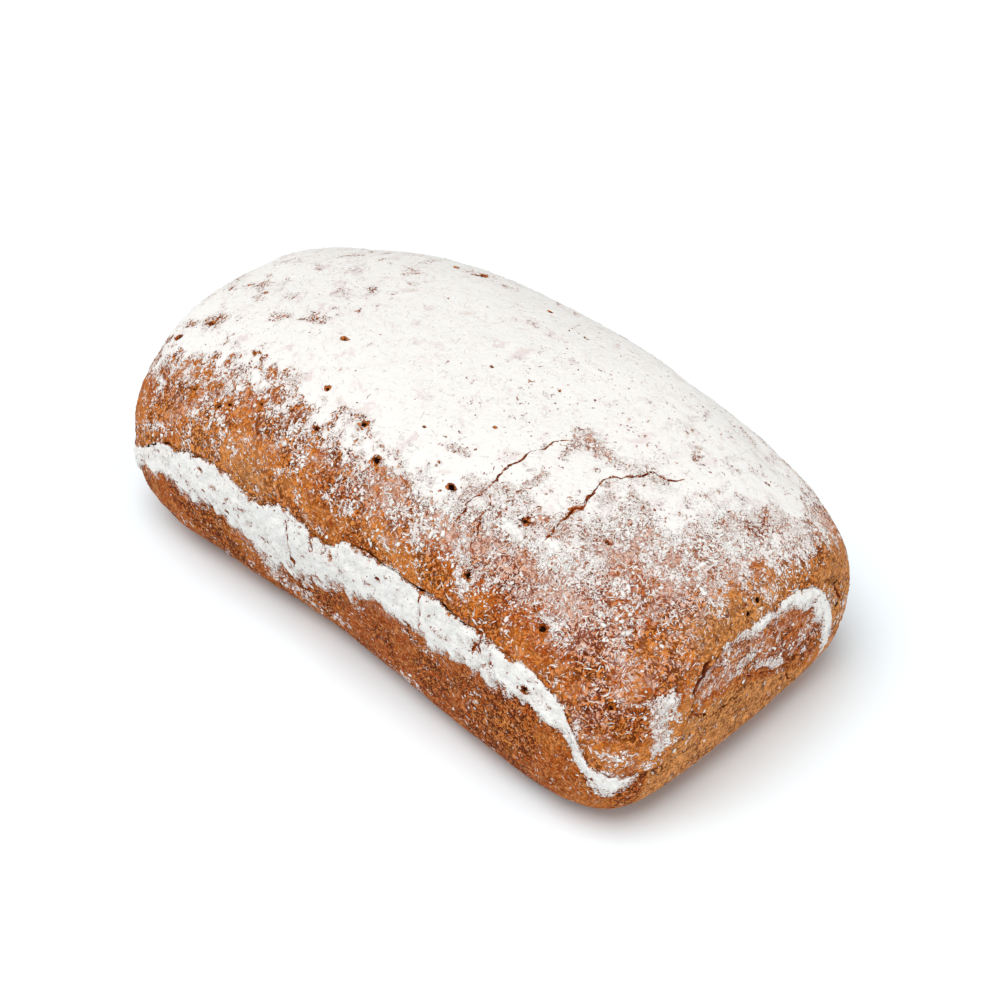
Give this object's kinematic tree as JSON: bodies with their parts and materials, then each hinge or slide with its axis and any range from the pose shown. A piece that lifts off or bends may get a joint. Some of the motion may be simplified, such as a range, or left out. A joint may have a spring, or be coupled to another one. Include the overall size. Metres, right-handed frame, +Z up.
{
  "type": "spelt bread loaf",
  "caption": "Whole uncut tin loaf of bread: long rounded block with a domed crown, slightly pinched sides, a ledge where the crown rose over the tin and a flat underside.",
  "frame": {"origin": "centre of the loaf's footprint, on the surface it stands on", "axes": "+X along the loaf's length, +Y across its width, +Z up through the crown"},
  "size_m": [0.2422, 0.1302, 0.0952],
  "materials": {
    "crust": "dry matt golden-brown crust dusted with white flour"
  },
  "bodies": {
    "root": {"loaf": "crust"}
  },
  "joints": []
}
